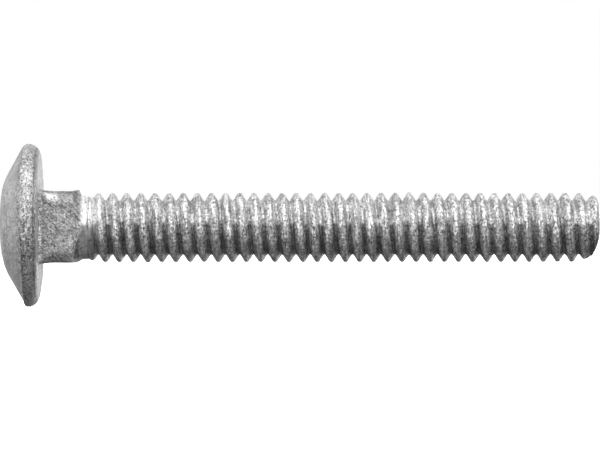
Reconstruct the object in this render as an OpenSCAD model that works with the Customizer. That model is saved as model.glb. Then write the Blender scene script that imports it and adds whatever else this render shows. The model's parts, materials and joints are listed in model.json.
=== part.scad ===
// Carriage bolt: a domed round head, a square neck and a shank threaded almost to the neck.
// It lies as it comes to rest, on the rim of its head and the end of its thread.
// +X runs from the head towards the thread, +Z is up and the floor is z = 0.
// The origin is the middle of the bolt's footprint on the floor. All sizes are in mm.

/* [Head] */
// Diameter of the round head
head_d = 14.7; // [12.5:0.1:18]
// Height of the head above its bearing face
head_h = 3.65; // [3:0.05:4.5]
// How far above the shank's axis the middle of the head was forged
head_rise = 0.2; // [0:0.05:0.4]
// Radius of the shallow dome over the middle of the head
crown_r = 20; // [14:0.5:40]
// Diameter at which that dome meets the sloping shoulder
crown_d = 7.9; // [6:0.1:9]
// Radius that blends the dome into the shoulder
blend_r = 5; // [2:0.5:8]
// Radius at the top of the rim
rim_top_r = 0.45; // [0.3:0.05:0.9]
// Height of the straight band around the rim
rim_land = 0.15; // [0.05:0.05:0.4]
// Radius at the bottom of the rim, down to the bearing face
rim_bottom_r = 0.95; // [0.4:0.05:1.1]

/* [Square neck] */
// Width across the flats of the neck
neck_w = 6.44; // [6.3:0.02:8]
// Length of the neck under the head, with its chamfer
neck_l = 3.9; // [3:0.05:5]
// Radius along the four corners of the neck
neck_corner_r = 1; // [0.3:0.05:1.5]
// Angle between the chamfer at the end of the neck and the bolt's axis
neck_chamfer_deg = 58; // [25:1:65]
// Radius of the fillet between the head and the neck
neck_fillet_r = 0.3; // [0.1:0.05:0.6]

/* [Shank] */
// Length of the bolt under its head
bolt_l = 50.2; // [25:0.1:80]
// Diameter of the plain part between the neck and the thread
shank_d = 5.74; // [5:0.02:6]
// Length of the plain part between the neck and the thread
shank_l = 0.3; // [0.2:0.1:10]
// Outside diameter of the thread
thread_d = 6.2; // [6.02:0.02:7.6]
// Length over which the thread runs out towards the neck
thread_runout_l = 0.6; // [0.2:0.05:2]
// Length of the chamfered point
point_l = 0.8; // [0.4:0.05:1.5]
// Diameter of the flat end of the point
point_d = 4.7; // [3:0.1:5.5]

/* [Parts] */
// The one forged piece, or everything

/* [Hidden] */
$fn = 96;
zinc = [0.62, 0.63, 0.64];

// Head profile, as [radius, height above the bearing face]: a dome, a blend, a straight
// shoulder and two rim radii, each tangent to the next.
head_r = head_d / 2;
rim_top = [head_r - rim_top_r, rim_bottom_r + rim_land];
rim_bottom = [head_r - rim_bottom_r, rim_bottom_r];
dome = [0, head_h - crown_r];
dome_edge = [crown_d / 2, dome.y + sqrt(pow(crown_r, 2) - pow(crown_d / 2, 2))];
// The shoulder leaves the edge of the dome and touches the upper rim radius.
shoulder_run = rim_top - dome_edge;
shoulder_deg = atan2(-shoulder_run.y, shoulder_run.x) - asin(rim_top_r / norm(shoulder_run));
shoulder_out = [sin(shoulder_deg), cos(shoulder_deg)];
shoulder_end = rim_top + rim_top_r * shoulder_out;
// The blend circle lies inside the dome's circle and under the shoulder.
blend_off = (shoulder_end - dome) * shoulder_out - blend_r;
blend_along = sqrt(pow(crown_r - blend_r, 2) - pow(blend_off, 2));
blend = dome + [
    blend_off * shoulder_out.x - blend_along * shoulder_out.y,
    blend_off * shoulder_out.y + blend_along * shoulder_out.x
];
blend_start = dome + (blend - dome) * crown_r / (crown_r - blend_r);
blend_end = blend + blend_r * shoulder_out;
// Each radius stands this much proud, so that it crosses its tangents and leaves no sliver.
proud = 0.0005;

// Neck, shank and thread, as distances under the head along the axis.
neck_flat = neck_w / 2;
neck_diagonal = neck_flat * sqrt(2);
neck_corner = neck_flat - neck_corner_r;
neck_chamfer_l = (neck_diagonal - shank_d / 2) / tan(neck_chamfer_deg);
thread_start = neck_l + shank_l;
thread_full = thread_start + thread_runout_l;
thread_end = bolt_l - point_l;
// How far the shank reaches into the head, so that the two are one solid.
root = head_h / 2;

// Rest: the floor touches the lower rim radius and the far end of the full thread.
rim_to_thread = [thread_end + rim_bottom.y, thread_d / 2 + head_rise - rim_bottom.x];
rest_deg = asin(rim_bottom_r / norm(rim_to_thread)) - atan2(rim_to_thread.y, rim_to_thread.x);
axis_z = thread_end * sin(rest_deg) + thread_d / 2 * cos(rest_deg);
rest_back = dome.y * cos(rest_deg) + crown_r - head_rise * sin(rest_deg);
rest_front = bolt_l * cos(rest_deg) + point_d / 2 * sin(rest_deg);
axis_x = (rest_back - rest_front) / 2;

// The head, with its bearing face at z = 0 and its dome towards +Z.
module head() {
    translate([head_rise, 0, 0]) rotate_extrude() {
        polygon([
            [0, 0], [rim_bottom.x, 0], [head_r, rim_bottom.y], [head_r, rim_top.y],
            shoulder_end, blend_end, blend_start, [0, blend_start.y]
        ]);
        arc_in_box(rim_bottom, rim_bottom_r + proud, [rim_bottom.x, 0], [head_r, rim_top.y]);
        arc_in_box(rim_top, rim_top_r + proud, [0, rim_bottom.y], [head_r, head_h]);
        arc_in_box(blend, blend_r + proud, [0, rim_bottom.y], [shoulder_end.x, head_h]);
        arc_in_box(dome, crown_r, [0, rim_bottom.y], [blend_start.x, 2 * head_h]);
    }
}

// The part of a circle inside a box, given by its lower left and upper right corners.
module arc_in_box(centre, radius, low, high) {
    intersection() {
        translate(centre) circle(radius);
        translate(low) square(high - low);
    }
}

// The square neck under z = 0: rounded corners, and a conical chamfer at its lower end.
module neck() {
    intersection() {
        translate([0, 0, -neck_l]) linear_extrude(neck_l + root) neck_section();
        rotate_extrude() polygon([
            [0, -neck_l], [shank_d / 2, -neck_l], [neck_diagonal, neck_chamfer_l - neck_l],
            [neck_diagonal, root], [0, root]
        ]);
    }
    neck_fillet();
}

// Square with rounded corners.
module neck_section() {
    square([neck_w, 2 * neck_corner], center = true);
    square([2 * neck_corner, neck_w], center = true);
    for (x = [-1, 1], y = [-1, 1]) translate([x, y] * neck_corner) circle(neck_corner_r);
}

// Hollow fillet all around the top of the neck: straight along the flats, round the corners.
module neck_fillet() {
    for (a = [0 : 90 : 270]) rotate(a) {
        translate([neck_corner, neck_corner]) rotate_extrude() {
            translate([neck_corner_r, 0]) fillet_section();
        }
        translate([neck_flat, neck_corner, 0]) rotate([90, 0, 0]) {
            linear_extrude(2 * neck_corner) fillet_section();
        }
    }
}

// Corner of the fillet under z = 0, outside the neck's face at x = 0, hollowed by a circle.
module fillet_section() {
    difference() {
        translate([0, -neck_fillet_r]) square(neck_fillet_r);
        translate([neck_fillet_r, -neck_fillet_r]) circle(neck_fillet_r);
    }
}

// Plain shank and the thread's outer envelope, with its run-out and chamfered point.
module shank() {
    rotate_extrude() polygon([
        [0, root], [shank_d / 2, root], [shank_d / 2, -thread_start],
        [thread_d / 2, -thread_full], [thread_d / 2, -thread_end],
        [point_d / 2, -bolt_l], [0, -bolt_l]
    ]);
}

module carriage_bolt() {
    color(zinc) translate([axis_x, 0, axis_z]) rotate([0, rest_deg - 90, 0]) {
        head();
        neck();
        shank();
    }
}

carriage_bolt();
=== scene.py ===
"""A hot-dip galvanised carriage bolt, lying as it comes to rest, in plain studio light.

One closed mesh stands for the CAD node: the domed head, the square neck and the rolled thread,
with the uneven skin that dipping in zinc leaves. Its sizes are in millimetres from the middle of
the bearing face: s along the bolt, then up and towards the front. build() turns them into metres
in the part's frame.
"""

import json
import math
import random

import bmesh
import bpy
import numpy as np
from mathutils import Matrix, Vector, noise


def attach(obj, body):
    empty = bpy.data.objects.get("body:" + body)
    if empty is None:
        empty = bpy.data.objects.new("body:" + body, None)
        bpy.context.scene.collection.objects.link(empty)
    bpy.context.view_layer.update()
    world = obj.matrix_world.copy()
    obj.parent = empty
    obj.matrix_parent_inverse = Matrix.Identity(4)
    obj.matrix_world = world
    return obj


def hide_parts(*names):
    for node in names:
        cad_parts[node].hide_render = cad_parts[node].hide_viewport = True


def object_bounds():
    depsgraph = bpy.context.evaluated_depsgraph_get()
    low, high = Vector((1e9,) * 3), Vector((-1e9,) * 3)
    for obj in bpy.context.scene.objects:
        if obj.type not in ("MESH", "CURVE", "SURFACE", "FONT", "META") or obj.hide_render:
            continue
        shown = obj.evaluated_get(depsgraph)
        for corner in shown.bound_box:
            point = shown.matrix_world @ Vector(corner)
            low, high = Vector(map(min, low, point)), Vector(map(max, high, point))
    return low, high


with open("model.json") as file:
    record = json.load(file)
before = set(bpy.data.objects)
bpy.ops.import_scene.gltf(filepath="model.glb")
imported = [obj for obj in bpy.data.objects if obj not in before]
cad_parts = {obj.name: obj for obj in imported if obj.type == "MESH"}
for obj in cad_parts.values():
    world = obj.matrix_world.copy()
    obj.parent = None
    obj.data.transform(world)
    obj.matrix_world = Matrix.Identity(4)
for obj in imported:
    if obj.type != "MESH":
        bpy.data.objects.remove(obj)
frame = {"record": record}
cad_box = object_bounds()
NODE = "carriage_bolt"
TAU = 2 * math.pi
MM = 0.001

# --- sizes, in mm -------------------------------------------------------------------------
HEAD_R, HEAD_H, HEAD_RISE = 7.35, 3.65, 0.2
CROWN_R, CROWN_EDGE, BLEND_R = 20.0, 3.95, 5.0
RIM_TOP_R, RIM_LAND, RIM_BOTTOM = 0.45, 0.15, 0.95
RIM_CREASE = 0.1  # radians between the rim and the start of its underside
LEAN, SAG = 0.0145, 0.0009  # the dome was forged leaning, and sags at its lower edge
LEAN_END = 6.95  # both fade out from this radius to the rim
DROOP, DROOP_FROM, DROOP_TO = 0.06, 4.6, 6.0  # the underside gives way this low on the head
DROOP_RIM = 0.5  # and less so this close to the rim
DOME_STEP, RIM_STEP, UNDER_STEP = 0.2, 0.1, 0.11  # longest mesh edges along the head's arcs
FILLET = 0.3
NECK_HALF, NECK_L, NECK_RISE = 3.22, 3.75, 0.055
NECK_CORNER, NECK_CORNER_ROOT = 1.05, 0.35
CORNER_GROWS = (0.45, 1.2)  # the corners go from sharp to round between these distances
FLARE, FLARE_END = 0.07, 1.3  # how far the neck's root stands out, and where that has faded
NECK_END_WAVES = (  # (degrees from the top, width, mm) by which its chamfer ends late or early
    (94, 14, 0.28), (138, 17, -0.45), (180, 20, 0.17), (250, 30, 0.1), (310, 25, -0.2),
)
CHAMFER_SLOPE = 1.85  # mm inwards for each mm along the neck's chamfer
SHANK_R = 2.85
DIE_MARK, DIE_MARK_DEPTH, DIE_MARK_WIDTH = 4.4, 0.045, 0.05  # a fine line, where the thread starts
THREAD_BASE, THREAD_DEPTH, PITCH = 2.38, 0.77, 1.27
FLANK = 60  # degrees between a flank and the bolt's axis
CREST_HALF, CREST_SOFT = 0.37, 0.12  # half the thread's width at mid height, and its rounding
CREST_TOP = 5.227  # a crest passes the top of the bolt here
SEAM, SEAM_WIDTH = 0.05, 0.045  # rolling leaves a fine seam on the crest: share of depth, and mm
RUNOUT = (4.15, 5.3)  # the thread grows to its full depth
FADE, FADE_SHARE = (48.5, 49.15), 0.34  # the last turn is lower, where the bar was chamfered
BOLT_L = 50.2
END_SLANT, END_SLANT_FROM, END_SLANT_POWER = 0.14, 0.3, 1.8
END_SOFT, END_CROWN, END_DIMPLE = 0.04, 0.02, 0.01
SKIN, SHANK_SKIN = 0.03, 0.02  # the zinc's lumps start this far inside the CAD sizes
HEAD_SHARE, END_SHARE = 0.8, 0.6  # they are this share as high on the head and on the cut end
HEAD_MIDDLE = 0.6  # on the head they stand off away from this far behind its bearing face
END_ZONE = 0.6  # the cut end's skin starts this far from the end of the bolt
MEAN_R = 3.0  # turns an angle round the shank into a distance

# --- the bolt's own axes in the part's frame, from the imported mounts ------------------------
mounts = {m["name"]: m for m in frame["record"]["mounts"]}
along = Vector(mounts["thread"]["axis"]).normalized()
across = Vector((0, 1, 0))
up = along.cross(across)
on_axis = Vector(mounts["thread"]["pos_m"])
bearing = Vector(mounts["bearing_face"]["pos_m"])
seat = on_axis + along * (bearing - on_axis).dot(along)

# --- mesh grid: columns go round the bolt, from its top towards the front -------------------
COLUMNS = 152
SHOULDER_ROWS, UNDER_ROWS, FILLET_ROWS = 13, 14, 5
NECK_ROWS, CHAMFER_ROWS, SHANK_ROWS, END_ROWS = 24, 10, 5, 12
END_EDGE = 0.015  # a first row this share of the way in keeps the edge of the cut end crisp
# Rows within one turn of the thread, as offsets from its crest: closest at crest and root.
HALF_ROWS = (0.05, 0.12, 0.21, 0.31, 0.42, 0.53)
TURN_ROWS = [-u for u in reversed(HALF_ROWS)] + [0.0] + list(HALF_ROWS) + [PITCH / 2]
WELD = 0.0002  # mm; closer vertices are one
theta = np.arange(COLUMNS) * TAU / COLUMNS
cos_t, sin_t = np.cos(theta), np.sin(theta)


def ring(s, r, rise=0.0):
    """One row of the grid: distance from the bearing face, radius, and how far it sits up."""
    one = np.ones(COLUMNS)
    return np.stack([s * one, r * cos_t + rise, r * sin_t], axis=1)


def steps(count):
    """Shares from one step above 0 up to 1, in equal steps."""
    return np.linspace(0, 1, count + 1)[1:]


def blend_to(x, low, high):
    """0 below low, 1 above high, and smooth between."""
    t = np.clip((x - low) / (high - low), 0, 1)
    return t * t * (3 - 2 * t)


def hump(degrees, width):
    """A smooth hump of height 1 around one side of the bolt; 0 degrees is its top."""
    off = (theta - math.radians(degrees) + math.pi) % TAU - math.pi
    return np.exp(-((off / math.radians(width)) ** 2))


def soft_clamp(t, width):
    """t held between 0 and 1 with rounded corners."""
    return width * (np.logaddexp(0, t / width) - np.logaddexp(0, (t - 1) / width))


# --- head ---------------------------------------------------------------------------------
def arc(centre, radius, start, end, step):
    """Points on an arc of the head's profile, angles in radians from the bolt's axis."""
    count = max(3, math.ceil(abs(end - start) * radius / step))
    angles = np.linspace(start, end, count + 1)
    return [(centre[0] + radius * math.sin(a), centre[1] + radius * math.cos(a)) for a in angles]


def dome_profile():
    """(radius, height over the bearing face) from the middle of the dome out to the rim."""
    rim_top = np.array([HEAD_R - RIM_TOP_R, RIM_BOTTOM + RIM_LAND])
    dome = np.array([0.0, HEAD_H - CROWN_R])
    edge = np.array([CROWN_EDGE, dome[1] + math.sqrt(CROWN_R**2 - CROWN_EDGE**2)])
    run = rim_top - edge
    slope = math.atan2(-run[1], run[0]) - math.asin(RIM_TOP_R / np.linalg.norm(run))
    out = np.array([math.sin(slope), math.cos(slope)])
    shoulder_end = rim_top + RIM_TOP_R * out
    off = (shoulder_end - dome) @ out - BLEND_R
    back = math.sqrt((CROWN_R - BLEND_R) ** 2 - off**2)
    blend = dome + off * out + back * np.array([-out[1], out[0]])
    crown = math.atan2(blend[0] - dome[0], blend[1] - dome[1])
    blend_end = blend + BLEND_R * out
    points = arc(dome, CROWN_R, 0, crown, DOME_STEP)[1:]
    points += arc(blend, BLEND_R, crown, slope, DOME_STEP)[1:]
    points += [tuple(p) for p in np.linspace(blend_end, shoulder_end, SHOULDER_ROWS + 1)[1:]]
    points += arc(rim_top, RIM_TOP_R, slope, math.pi / 2, RIM_STEP)[1:]
    return points


def underside_profile():
    """(radius, height over the bearing face) of the rim's lower rounding."""
    radius = RIM_BOTTOM / (1 - math.sin(RIM_CREASE))
    centre = (HEAD_R - radius * math.cos(RIM_CREASE), radius)
    return arc(centre, radius, math.pi / 2 + RIM_CREASE, math.pi, UNDER_STEP)


def droop_at(r):
    """How far the underside gives way towards the dome, low on the head."""
    return DROOP * blend_to(-r * cos_t, DROOP_FROM, DROOP_TO)


def head_rows():
    rows = []
    for r, h in dome_profile():
        side = r * cos_t
        lean = (LEAN * side - SAG * side**2) * (1 - float(blend_to(r, LEAN_END, HEAD_R)))
        rows.append(ring(-h - lean, r, HEAD_RISE))
    for r, h in underside_profile():
        from_rim = min(1.0, (HEAD_R - r) / DROOP_RIM)
        rows.append(ring(-h - droop_at(r) * from_rim, r, HEAD_RISE))
    root = neck_radius(FILLET, NECK_CORNER_ROOT)
    for k in steps(UNDER_ROWS):
        rise = HEAD_RISE + (NECK_RISE - HEAD_RISE) * k
        rows.append(ring(-droop_at(r) * (1 - k), r + (root - r) * k, rise))
    return rows


# --- neck ---------------------------------------------------------------------------------
def neck_radius(grow, corner):
    """Distance from the axis to a square with rounded corners, grown outwards by grow."""
    half, round_r = NECK_HALF + grow, corner + grow
    off = np.abs((theta + math.pi / 4) % (math.pi / 2) - math.pi / 4)
    flat = half / np.cos(off)
    m = half - round_r
    mu = m * (np.cos(off) + np.sin(off))
    curve = mu + np.sqrt(np.maximum(round_r**2 - 2 * m**2 + mu**2, 0))
    return np.where(half * np.tan(off) <= m, flat, curve)


def die_mark(s):
    """Depth of the fine line that the rolling dies left around the start of the thread."""
    return DIE_MARK_DEPTH * np.exp(-(((s - DIE_MARK) / DIE_MARK_WIDTH) ** 2))


def neck_rows():
    """Fillet, square neck with corners that start sharp, its chamfer and the plain shank."""
    rows = []
    for a in np.linspace(0, math.pi / 2, FILLET_ROWS + 1)[1:]:
        grow = FILLET * (1 - math.sin(a))
        s = FILLET * (1 - math.cos(a))
        rows.append(ring(s, neck_radius(grow, NECK_CORNER_ROOT) + FLARE, NECK_RISE))
    end = NECK_L + sum(late * hump(degrees, width) for degrees, width, late in NECK_END_WAVES)
    # The chamfer is steepest on the lower front corner, and gentle underneath.
    slope = CHAMFER_SLOPE + 1.6 * hump(132, 22) - 1.3 * blend_to(-cos_t, 0.8, 0.97)
    crease = end - (neck_radius(0, NECK_CORNER) - SHANK_R) / slope
    for k in steps(NECK_ROWS):
        s = FILLET + (crease - FILLET) * k
        corner = NECK_CORNER_ROOT + (NECK_CORNER - NECK_CORNER_ROOT) * blend_to(s, *CORNER_GROWS)
        r = neck_radius(0, corner) + FLARE * (1 - blend_to(s, FILLET, FLARE_END))
        rows.append(ring(s, r, NECK_RISE))
    for k in steps(CHAMFER_ROWS):
        rows.append(ring(crease + (end - crease) * k, r + (SHANK_R - r) * k, NECK_RISE * (1 - k)))
    for k in steps(SHANK_ROWS):
        s = end + (DIE_MARK - end) * k
        rows.append(ring(s, SHANK_R - die_mark(s)))
    return rows


# --- thread -------------------------------------------------------------------------------
EDGE_R = 2.4 - 0.26 * cos_t  # where the chamfer of the point meets the cut end
POINT_SLOPE = 1.1 * np.exp(1.3 * cos_t)  # that chamfer is steep above and gentle below


def thread_height(u):
    """Height of the thread, 0 to 1, at u mm along the axis from a crest."""
    u = np.abs((u + PITCH / 2) % PITCH - PITCH / 2)
    flank = (CREST_HALF - u) * math.tan(math.radians(FLANK)) / THREAD_DEPTH + 0.5
    return soft_clamp(flank, CREST_SOFT) - SEAM * np.exp(-((u / SEAM_WIDTH) ** 2))


def end_station(up_side):
    """Where the cut end of the bolt begins: it slants away below the axis."""
    return BOLT_L - END_SLANT * np.maximum(-up_side - END_SLANT_FROM, 0) ** END_SLANT_POWER


def thread_rows():
    """Rows that follow the helix, so that crests and roots lie on mesh lines."""
    last = end_station(EDGE_R * cos_t)
    advance = PITCH * theta / TAU
    first_turn = math.floor((DIE_MARK - CREST_TOP) / PITCH) - 1
    last_turn = math.ceil((BOLT_L - CREST_TOP) / PITCH) + 1
    rows = []
    for turn in range(first_turn, last_turn):
        for u in TURN_ROWS:
            s = np.clip(CREST_TOP + turn * PITCH + u + advance, DIE_MARK, last)
            tall = THREAD_DEPTH * (1 - FADE_SHARE * blend_to(s, *FADE))
            full = THREAD_BASE + tall * thread_height(s - advance - CREST_TOP)
            r = SHANK_R + (full - SHANK_R) * blend_to(s, *RUNOUT) - die_mark(s)
            chamfer = EDGE_R + (last - s) * POINT_SLOPE
            r = -END_SOFT * np.logaddexp(-r / END_SOFT, -chamfer / END_SOFT)
            rows.append(ring(s, r))
    return rows


def end_rows():
    """The slanted, slightly crowned end of the bolt, from its edge towards its middle."""
    rows = []
    for k in (END_EDGE, *steps(END_ROWS)[:-1]):
        r = EDGE_R * (1 - k)
        rows.append(ring(end_station(r * cos_t) - END_CROWN * (1 - k) ** 2, r))
    return rows


# --- the zinc skin ------------------------------------------------------------------------
DRIPS = [  # (mm along, degrees from the top, size, height) of the lumps and pits seen best
    (3.35, 8, 0.5, 0.12), (3.5, 35, 0.3, 0.05), (3.0, 118, 0.5, 0.05), (2.2, 95, 0.6, 0.02),
    (5.6, 84, 0.35, -0.07), (5.9, 100, 0.25, 0.06), (46.9, 100, 0.45, 0.07),
]
CHANCE_DRIPS = 150
dice = random.Random(11)
for _ in range(CHANCE_DRIPS):
    DRIPS.append((dice.uniform(4.8, 49.2), dice.uniform(0, 360), dice.uniform(0.16, 0.42),
                  dice.choice((-0.03, 0.03, 0.045, 0.06))))


def drip_height(verts):
    """How far the single lumps and pits stand off, for every vertex."""
    turn = np.degrees(np.arctan2(verts[:, 2], verts[:, 1]))
    total = np.zeros(len(verts))
    for s, degrees, size, height in DRIPS:
        near = np.abs(verts[:, 0] - s) < 2.5 * size
        off = (turn[near] - degrees + 180) % 360 - 180
        reach = ((verts[near, 0] - s) ** 2 + (np.radians(off) * MEAN_R) ** 2) / size**2
        total[near] += height * np.exp(-reach * 2)
    return total


def lumps(s, a, b):
    """How far the zinc stands off the steel at a point, in mm.

    Noise of four sizes, widest first. The finer two come in patches and are rougher past the neck.
    """
    p = Vector((s, a, b))
    wide = noise.noise(p * 0.5)
    mid = noise.noise(p * 1.5 + Vector((7.1, 0, 0)))
    fine = noise.noise(p * 3.4 + Vector((0, 3.3, 0)))
    grain = noise.noise(p * 6.1 + Vector((0, 0, 5.2)))
    crust = 1.0 + 0.9 * noise.noise(p * 0.4 + Vector((2.2, 4.1, 0)))
    coarse = 1.8 if s > NECK_L else 1.0
    return 0.014 * wide + 0.014 * mid + (0.013 * fine + 0.010 * grain) * crust * coarse


def dress(verts):
    """Moves each vertex out from the axis, or out of the head, by the zinc's lumps."""
    out = verts.copy()
    drips = drip_height(verts)
    for i, (s, a, b) in enumerate(verts):
        d = lumps(s, a, b)
        r = math.hypot(a, b)
        if s <= 0.001:
            way = Vector((s + HEAD_MIDDLE, a, b)).normalized()
            out[i] += np.array(way) * (HEAD_SHARE * d - SKIN)
        elif r > 0.3 and s < BOLT_L - END_ZONE:
            stand = d + drips[i] - SHANK_SKIN
            out[i, 1] += a / r * stand
            out[i, 2] += b / r * stand
        else:
            out[i, 0] += min(0.0, END_SHARE * d - SKIN)
    return out


# --- one closed mesh ----------------------------------------------------------------------
def make_mesh():
    """Vertices and faces of the whole bolt, with the seam of the helix stepped by one turn."""
    plain = head_rows() + neck_rows()
    turns = thread_rows()
    rows = plain + turns + end_rows()
    poles = [ring(-HEAD_H, 0.0, HEAD_RISE)[:1], ring(BOLT_L - END_DIMPLE, 0.0)[:1]]
    dome_pole, last_row = len(rows) * COLUMNS, (len(rows) - 1) * COLUMNS
    helix_start, helix_end = len(plain), len(plain) + len(turns) - 1

    def next_column(row, column, on_helix):
        """Vertex number one column on. After the last column the helix is one turn further."""
        if column + 1 < COLUMNS:
            return row * COLUMNS + column + 1
        if on_helix:
            row = min(row + len(TURN_ROWS), helix_end)
        return row * COLUMNS

    faces = []
    for c in range(COLUMNS):
        d = (c + 1) % COLUMNS
        faces.append((dome_pole, d, c))
        faces.append((dome_pole + 1, last_row + c, last_row + d))
        for row in range(len(rows) - 1):
            on_helix = helix_start <= row < helix_end
            ahead = [next_column(r, c, on_helix) for r in (row, row + 1)]
            faces.append((row * COLUMNS + c, *ahead, (row + 1) * COLUMNS + c))
    return np.concatenate(rows + poles), faces


def build():
    """The dressed mesh in the part's frame, in metres."""
    verts, faces = make_mesh()
    verts = dress(verts)
    placed = np.array(seat) + MM * (verts @ np.array([along, up, -across]))
    mesh = bpy.data.meshes.new("galvanised_bolt")
    mesh.from_pydata(placed.tolist(), [], faces)
    bm = bmesh.new()
    bm.from_mesh(mesh)
    bmesh.ops.remove_doubles(bm, verts=bm.verts, dist=WELD * MM)
    bmesh.ops.dissolve_degenerate(bm, edges=bm.edges, dist=WELD * MM / 2)
    bmesh.ops.recalc_face_normals(bm, faces=bm.faces)
    for face in bm.faces:
        face.smooth = True
    bm.to_mesh(mesh)
    bm.free()
    piece = bpy.data.objects.new("galvanised_bolt", mesh)
    bpy.context.scene.collection.objects.link(piece)
    return piece


# --- shader nodes -------------------------------------------------------------------------
class Graph:
    """The shader nodes of a material or a world, joined by handing outputs on as inputs."""

    def __init__(self, owner):
        owner.use_nodes = True
        self.nodes, self.links = owner.node_tree.nodes, owner.node_tree.links
        self.nodes.clear()

    def fill(self, node, *values):
        """Fills a node's inputs in order; None leaves one as it is."""
        for socket, value in zip(node.inputs, values):
            if isinstance(value, bpy.types.NodeSocket):
                self.links.new(value, socket)
            elif value is not None:
                socket.default_value = value

    def add(self, kind, *values):
        node = self.nodes.new("ShaderNode" + kind)
        self.fill(node, *values)
        return node

    def math(self, operation, *values):
        node = self.add("Math")
        node.operation = operation
        self.fill(node, *values)
        return node.outputs[0]

    def vector_math(self, operation, *values):
        node = self.add("VectorMath")
        node.operation = operation
        self.fill(node, *values)
        return node.outputs[0]

    def ramp(self, value, low, high, to_low, to_high, kind="LINEAR"):
        """to_low up to low, to_high from high on, and a ramp between."""
        node = self.add("MapRange", value, low, high, to_low, to_high)
        node.interpolation_type = kind
        return node.outputs[0]

    def ramp_mm(self, value, low, high, to_low, to_high):
        """The same for a value in metres, with low and high in mm."""
        return self.ramp(value, low * MM, high * MM, to_low, to_high)

    def near(self, value, place, inner, outer):
        """1 where a value in metres is within inner mm of place, and 0 beyond outer mm."""
        off = self.math("ABSOLUTE", self.math("SUBTRACT", value, place * MM))
        return self.ramp_mm(off, inner, outer, 1.0, 0.0)

    def noise(self, place, scale, detail, rough=0.6):
        node = self.add("TexNoise", place)
        node.inputs["Scale"].default_value = scale
        node.inputs["Detail"].default_value = detail
        node.inputs["Roughness"].default_value = rough
        return node.outputs["Fac"]

    def darken(self, level, mask, amount=1.0):
        """level, less that share of it where mask is 1; a negative amount brightens it."""
        kept = self.math("SUBTRACT", 1.0, self.math("MULTIPLY", mask, amount))
        return self.math("MULTIPLY", level, kept)


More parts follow.
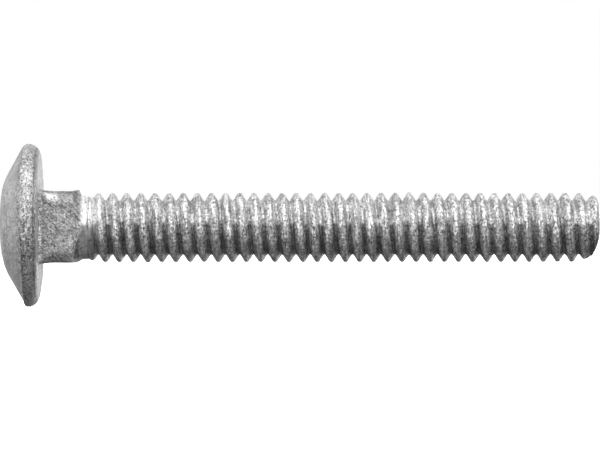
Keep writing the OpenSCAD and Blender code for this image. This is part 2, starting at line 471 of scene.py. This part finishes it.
# --- material -----------------------------------------------------------------------------
class Zinc(Graph):
    """Mottled grey zinc: fine crystals that tilt the surface, pits, streaks and dull patches, with
    painted shade in the lower grooves and painted highlights on the neck.
    """

    def __init__(self, material):
        super().__init__(material)
        self.place = self.add("TexCoord").outputs["Object"]
        # The bolt's own coordinates in metres: s along it, then across to the back, and up.
        local = self.add("Mapping")
        local.vector_type = "TEXTURE"
        turned = Matrix((along, across, up)).transposed().to_euler()
        self.fill(local, self.place, seat, turned)
        self.s, self.side, self.high = self.add("SeparateXYZ", local.outputs[0]).outputs

        self.on_neck = self.near(self.s, 1.85, 1.6, 2.0)
        # A smooth spot high on the neck's top corner: finer grain there, which is real, and
        # lighter colour there, which is a painted highlight.
        self.smooth_highlight_spot = self.math("MULTIPLY", self.near(self.s, 1.1, 0.3, 0.9),
                               self.near(self.high, 2.75, 0.15, 0.5))
        # How coarse the zinc's grain is: coarse on the rim and the thread, finer on the dome and
        # the neck, and finest on the plain shank and the smooth spot high on the neck.
        grain = self.ramp_mm(self.s, 4.6, 5.8, 0.35, 1.0)
        grain = self.math("MAXIMUM", grain, self.ramp_mm(self.s, 3.2, 4.0, 0.5, 0.0))
        grain = self.math("MAXIMUM", grain, self.near(self.s, -0.5, 0.7, 1.0))
        self.grain = self.darken(grain, self.smooth_highlight_spot, 0.8)
        self.lines = self.helix_lines()

    def helix_lines(self):
        """Noise stretched along the helix of the thread, so that it runs in lines round it."""
        squeeze = 0.12
        turn = self.math("ARCTAN2", self.math("MULTIPLY", self.side, -1.0), self.high)
        lead = self.math("MULTIPLY", turn, PITCH * MM / TAU)
        stretched = [self.math("MULTIPLY", v, squeeze) for v in (self.side, self.high)]
        helix = self.add("CombineXYZ", self.math("SUBTRACT", self.s, lead), *stretched)
        return self.noise(helix.outputs[0], 5600, 2.0)

    def scratches(self):
        """Noise that runs in lines aslant down the neck."""
        shares = ((self.math("ADD", self.s, self.high), 0.7), (self.side, 0.2),
                  (self.math("SUBTRACT", self.s, self.high), 0.14))
        aslant = self.add("CombineXYZ", *[self.math("MULTIPLY", v, k) for v, k in shares])
        return self.noise(aslant.outputs[0], 6400, 2.0)

    def speckle(self):
        """Crystal mottle, broad dull patches and dark pits."""
        mottle = self.ramp(self.noise(self.place, 5200, 3.0, 0.75), 0.4, 0.6, 0.7, 0.0)
        level = self.math("SUBTRACT", 1.0,
                          self.math("MULTIPLY", mottle, self.ramp(self.grain, 0.3, 1.0, 0.2, 1.0)))
        patches = self.ramp(self.noise(self.place, 800, 4.0, 0.65), 0.36, 0.64, 0.7, 1.0)
        pits = self.ramp(self.noise(self.place, 4300, 2.0), 0.34, 0.41, 0.35, 1.0)
        return self.math("MULTIPLY", self.math("MULTIPLY", level, patches), pits)

    def draw_lines(self, level):
        """Streaks, strong round the shank and the thread, and scratches on the neck."""
        streaks = self.ramp(self.lines, 0.4, 0.56, 0.42, 0.0)
        on_thread = self.ramp_mm(self.s, 3.2, 4.4, 0.25, 1.0)
        level = self.darken(level, self.math("MULTIPLY", streaks, on_thread))
        scratched = self.ramp(self.scratches(), 0.4, 0.56, 1.0, 0.0)
        return self.darken(level, self.math("MULTIPLY", scratched, self.on_neck), 0.4)

    def dull(self, level):
        """Dulls the head, and the neck beside its smooth spot, most over the neck's top; the spot
        is left lighter, a painted highlight, and a painted highlight brightens the neck's root.
        """
        level = self.darken(level, self.near(self.s, -0.5, 0.8, 1.2), 0.3)
        level = self.darken(level, self.ramp_mm(self.s, -1.7, -1.2, 1.0, 0.0), 0.42)
        # The smooth spot is darkened least, so its lighter colour is a painted highlight.
        dull_neck_but_highlight = self.math("SUBTRACT", self.on_neck, self.math("MULTIPLY", self.smooth_highlight_spot, 0.8))
        level = self.darken(level, dull_neck_but_highlight, self.ramp_mm(self.high, 2.2, 2.6, 0.37, 0.58))
        # Painted highlight: a bright band round the neck's root, next to the head.
        return self.darken(level, self.near(self.s, 0.15, 0.12, 0.25), -0.9)

    def mark_edges(self, level):
        """A fine dark line low on the rim; specks on its upper edge and at the neck's end."""
        level = self.darken(level, self.near(self.s, -0.27, 0.03, 0.11), 0.4)
        specks = self.ramp(self.noise(self.place, 3900, 2.0, 0.7), 0.42, 0.52, 0.6, 0.0)
        edges = self.math("ADD", self.near(self.s, -1.45, 0.2, 0.45),
                          self.near(self.s, 3.45, 0.2, 0.5))
        return self.darken(level, self.math("MULTIPLY", specks, edges))

    def shade_low_grooves(self, level):
        """Painted shade: darker grooves of the thread, and a darker band round its start, only on
        the bolt's lower side.
        """
        squares = [self.math("MULTIPLY", v, v) for v in (self.side, self.high)]
        radius = self.math("SQRT", self.math("ADD", *squares))
        groove_shade = self.math("MULTIPLY", self.ramp_mm(radius, 2.5, 2.82, 1.0, 0.0),
                           self.ramp_mm(self.s, 3.8, 4.4, 0.0, 1.0))
        start = self.math("MULTIPLY", self.near(self.s, 4.5, 0.5, 0.9), 0.75)
        groove_shade = self.math("MAXIMUM", groove_shade, start)
        # Only low on the bolt, the side turned away from the light: painted shade.
        low = self.ramp_mm(self.high, 0.2, 0.5, 0.55, 0.0)
        return self.darken(level, self.math("MULTIPLY", groove_shade, low))

    def relief(self):
        """Normals bent by the lines and the grains, and tilted crystal by crystal."""
        grains = self.noise(self.place, 5600, 3.0, 0.7)
        bump = self.add("Bump")
        bump.inputs["Strength"].default_value = 1.0
        bump.inputs["Distance"].default_value = 0.06 * MM
        height = self.math("ADD", self.math("MULTIPLY", self.lines, 0.8), grains)
        self.links.new(height, bump.inputs["Height"])
        crystals = self.add("TexVoronoi", self.place)
        crystals.inputs["Scale"].default_value = 6200
        tilt = self.vector_math("SUBTRACT", crystals.outputs["Color"], (0.5, 0.5, 0.5))
        amount = self.math("MULTIPLY", self.grain, 0.52)
        tilt = self.vector_math("SCALE", tilt, None, None, amount)
        return self.vector_math("NORMALIZE", self.vector_math("ADD", bump.outputs[0], tilt))


def zinc():
    mat = bpy.data.materials.new("hot_dip_zinc")
    g = Zinc(mat)
    bsdf = g.add("BsdfPrincipled")
    bsdf.inputs["Metallic"].default_value = 0.67
    # Painted light: highlights on the neck, and shade in the thread's lower grooves.
    level = g.dull(g.draw_lines(g.speckle()))
    level = g.shade_low_grooves(g.mark_edges(level))
    roughness = g.ramp(g.noise(g.place, 5200, 2.0), 0.3, 0.7, 0.26, 0.66)
    g.links.new(level, bsdf.inputs["Base Color"])
    g.links.new(roughness, bsdf.inputs["Roughness"])
    g.links.new(g.relief(), bsdf.inputs["Normal"])
    g.add("OutputMaterial", bsdf.outputs[0])
    return mat


bolt = build()
bolt.data.materials.append(zinc())
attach(bolt, "root")
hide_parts(NODE)

# --- studio -------------------------------------------------------------------------------
WHITE = (1, 1, 1, 1)


def studio_world():
    """White to the camera. In reflections: bright above, behind and at both ends, dim below."""
    world = bpy.data.worlds.new("studio")
    bpy.context.scene.world = world
    g = Graph(world)
    x, y, z = g.add("SeparateXYZ", g.add("TexCoord").outputs["Generated"]).outputs

    def smooth(value, low, high, to_low, to_high):
        return g.ramp(value, low, high, to_low, to_high, "SMOOTHSTEP")

    # Bright above a soft horizon, which is lower at the back, and less bright at the back.
    height = g.math("MULTIPLY_ADD", y, 0.2, z)
    level = g.math("MULTIPLY", smooth(height, -0.15, 0.22, 0.1, 1.1),
                   smooth(y, 0.2, 0.75, 1.0, 0.6))
    # Bright at the back beyond both ends of the bolt, and a dimmer backdrop straight behind it.
    ends = g.math("MULTIPLY", smooth(g.math("ABSOLUTE", x), 0.3, 0.6, 0.0, 1.0),
                  smooth(y, 0.0, 0.5, 0.0, 1.0))
    ends = g.math("MULTIPLY", ends, smooth(z, -0.5, 0.2, 0.2, 1.0))
    level = g.math("MAXIMUM", level, ends)
    backdrop = g.math("MULTIPLY", smooth(y, 0.75, 0.95, 0.0, 0.7), smooth(z, -0.6, -0.2, 0.0, 1.0))
    level = g.math("MAXIMUM", level, backdrop)
    # A little light from straight below, and a bright low card behind the bolt's point.
    level = g.math("ADD", level, smooth(z, -1.0, -0.6, 0.36, 0.0))
    card = g.math("MULTIPLY", smooth(x, 0.05, 0.35, 0.0, 1.0), smooth(y, 0.8, 0.96, 0.0, 1.0))
    level = g.math("ADD", level, g.math("MULTIPLY", card, smooth(z, -0.08, 0.08, 3.2, 0.4)))

    reflected, seen = g.add("Background", WHITE, level), g.add("Background", WHITE)
    by_camera = g.add("LightPath").outputs["Is Camera Ray"]
    both = g.add("MixShader", by_camera, reflected.outputs[0], seen.outputs[0])
    g.add("OutputWorld", both.outputs[0])


def pale_floor():
    reach, z = 6.0, cad_box[0].z - 0.02 * MM
    corners = [(-reach, -reach, z), (reach, -reach, z), (reach, reach, z), (-reach, reach, z)]
    mesh = bpy.data.meshes.new("floor")
    mesh.from_pydata(corners, [], [(0, 1, 2, 3)])
    floor = bpy.data.objects.new("floor", mesh)
    bpy.context.scene.collection.objects.link(floor)
    pale = bpy.data.materials.new("pale_floor")
    pale.use_nodes = True
    shader = pale.node_tree.nodes["Principled BSDF"]
    shader.inputs["Base Color"].default_value = (0.9, 0.9, 0.9, 1)
    shader.inputs["Roughness"].default_value = 1.0
    shader.inputs["Specular IOR Level"].default_value = 0.0
    shader.inputs["Emission Color"].default_value = WHITE
    shader.inputs["Emission Strength"].default_value = 0.8
    mesh.materials.append(pale)
    # The world gives the bolt its light from below, as a dark table would, not this floor.
    floor.visible_glossy = False
    floor.visible_diffuse = False


def softbox(name, place, size, power):
    """A rectangular light at a place, aimed at the origin."""
    light = bpy.data.lights.new(name, "AREA")
    light.shape = "RECTANGLE"
    light.size, light.size_y = size
    light.energy = power
    obj = bpy.data.objects.new(name, light)
    obj.location = place
    obj.rotation_mode = "QUATERNION"
    obj.rotation_quaternion = (-Vector(place)).to_track_quat("-Z", "Y")
    bpy.context.scene.collection.objects.link(obj)


studio_world()
pale_floor()
softbox("key", place=(0, -0.34, 0.39), size=(3.0, 0.6), power=13.5)

# --- camera: level with the bolt's axis and nearly square to it; the bolt fills the width ---
VIEW_W, DISTANCE = 0.05394, 0.44  # metres
AIM_S, EYE_S, SIGHT_RISE = 23.35, 25.77, 0.23  # mm along the bolt, and over its axis
cam_data = bpy.data.cameras.new("camera")
cam = bpy.data.objects.new("camera", cam_data)
bpy.context.scene.collection.objects.link(cam)
cam_data.sensor_width = 36
cam_data.lens = cam_data.sensor_width * DISTANCE / VIEW_W
cam_data.clip_start, cam_data.clip_end = 0.01, 20
aim = seat + MM * (along * AIM_S + up * SIGHT_RISE)
eye = seat + MM * (along * EYE_S + up * SIGHT_RISE) - across * DISTANCE
forward = (aim - eye).normalized()
right = forward.cross(up).normalized()
cam.matrix_world = Matrix.Translation(eye) @ Matrix(
    (right, right.cross(forward), -forward)).transposed().to_4x4()
bpy.context.scene.camera = cam
bpy.context.scene.view_settings.view_transform = "Standard"
